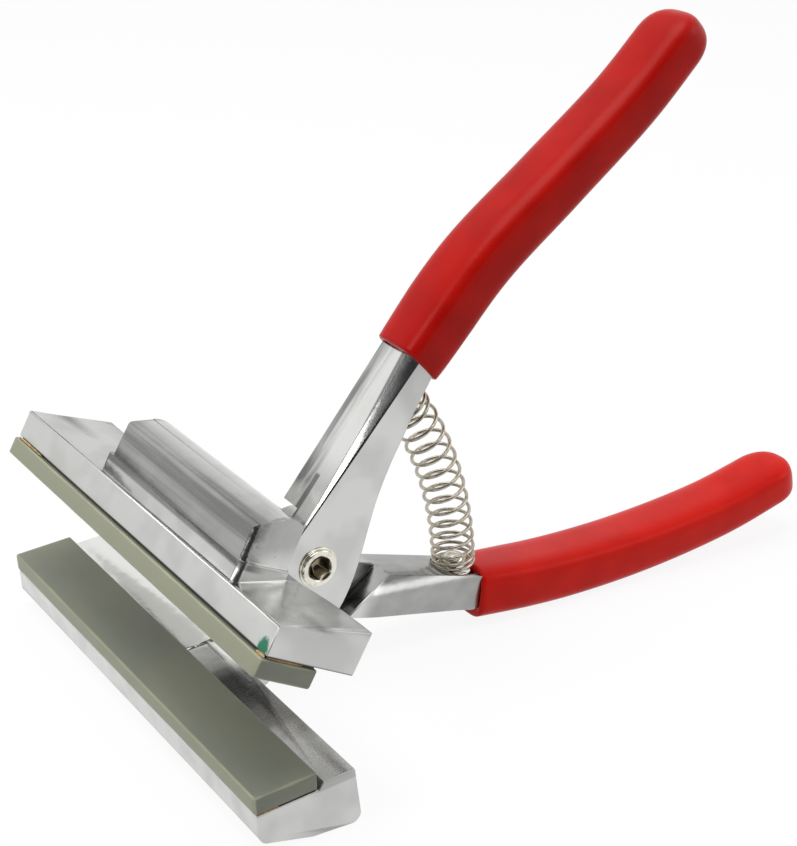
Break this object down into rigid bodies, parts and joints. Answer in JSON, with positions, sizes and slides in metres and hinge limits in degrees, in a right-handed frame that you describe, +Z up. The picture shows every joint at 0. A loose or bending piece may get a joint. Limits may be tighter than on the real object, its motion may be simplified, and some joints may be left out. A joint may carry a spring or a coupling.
{
  "type": "canvas pliers",
  "caption": "Hand pliers with wide rubber-faced jaws and dipped handles, held open by a curved spring, for stretching canvas over a frame.",
  "frame": {"origin": "middle of the flat sole of the lower jaw, which stands on the bench", "axes": "+X from the jaws back to the handles, +Y away from the near side along the width of the jaws, +Z up"},
  "size_m": [0.1986, 0.12, 0.1452],
  "materials": {
    "cast_metal": "polished casting",
    "pad_rubber": "satin, slightly translucent edges",
    "adhesive": "dried amber adhesive",
    "grip_vinyl": "dipped glossy vinyl",
    "nickel": "bright nickel plate",
    "spring_wire": "bright plated wire"
  },
  "bodies": {
    "lower_jaw": {"lower_jaw_lever": "cast_metal", "lower_pad": "pad_rubber", "lower_pad_glue": "adhesive", "upper_handle_grip": "grip_vinyl", "pivot_sleeve": "nickel", "pivot_screw": "nickel", "near_washer": "nickel", "far_washer": "nickel", "upper_spring_post": "nickel", "return_spring": "spring_wire"},
    "upper_jaw": {"upper_jaw_lever": "cast_metal", "upper_pad": "pad_rubber", "upper_pad_glue": "adhesive", "lower_handle_grip": "grip_vinyl", "lower_spring_post": "nickel"}
  },
  "joints": [
    {"name": "jaw_hinge", "type": "hinge", "parent": "lower_jaw", "child": "upper_jaw", "pos_m": [0.028, 0, 0.0285], "axis": [0, -1, 0], "range_deg": [0, 32.4], "stiffness_Nm_per_rad": 1.2, "springref_deg": -11.46, "deforming": ["return_spring"]}
  ]
}
